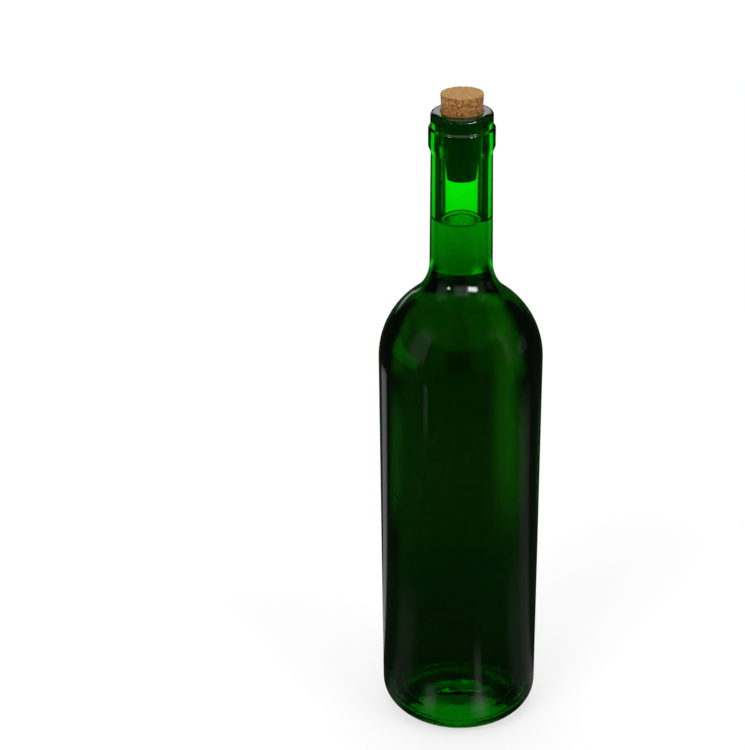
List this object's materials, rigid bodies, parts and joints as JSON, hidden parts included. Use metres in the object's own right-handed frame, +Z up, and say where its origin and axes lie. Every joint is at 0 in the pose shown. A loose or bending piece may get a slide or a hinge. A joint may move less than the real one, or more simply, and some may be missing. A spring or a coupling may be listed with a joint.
{
  "type": "wine bottle",
  "caption": "Green glass bottle with high shoulders and a domed base, filled with wine into the neck and closed by a tapered cork.",
  "frame": {"origin": "middle of the ring that the bottle stands on, at the ground", "axes": "+Z up along the bottle's axis, from the base to the cork; the bottle is round about Z, so +X and +Y are free"},
  "size_m": [0.0746, 0.0746, 0.311],
  "materials": {
    "green_glass": "clear green bottle glass, smooth and glossy",
    "wine": "clear dark wine",
    "cork": "pressed cork granules, cut and unvarnished"
  },
  "bodies": {
    "root": {"bottle": "green_glass", "wine": "wine", "cork": "cork"}
  },
  "joints": []
}
